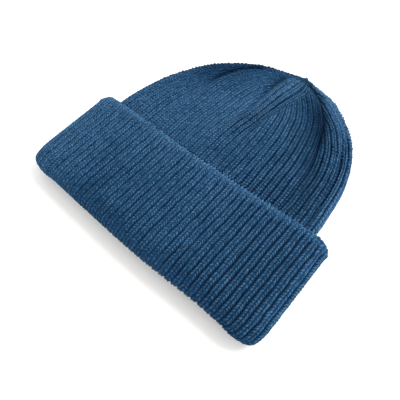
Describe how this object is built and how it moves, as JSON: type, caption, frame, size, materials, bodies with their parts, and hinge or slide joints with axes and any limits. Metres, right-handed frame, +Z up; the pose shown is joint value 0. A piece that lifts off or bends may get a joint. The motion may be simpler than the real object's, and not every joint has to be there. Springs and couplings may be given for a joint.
{
  "type": "wool hat",
  "caption": "Ribbed wool hat with a domed crown drawn in at the tip and a deep turned-up cuff, lying flat with its open rim at one end.",
  "frame": {"origin": "centre of the bounding box seen from above, on the surface that the hat lies on", "axes": "+Z up from the surface the hat lies on, +Y from the rim towards the tip of the crown, +X across the hat"},
  "size_m": [0.2176, 0.2104, 0.0225],
  "materials": {
    "wool": "soft matt blue wool in a thick rib knit, slightly fuzzy"
  },
  "bodies": {
    "root": {"crown": "wool", "cuff": "wool"}
  },
  "joints": []
}
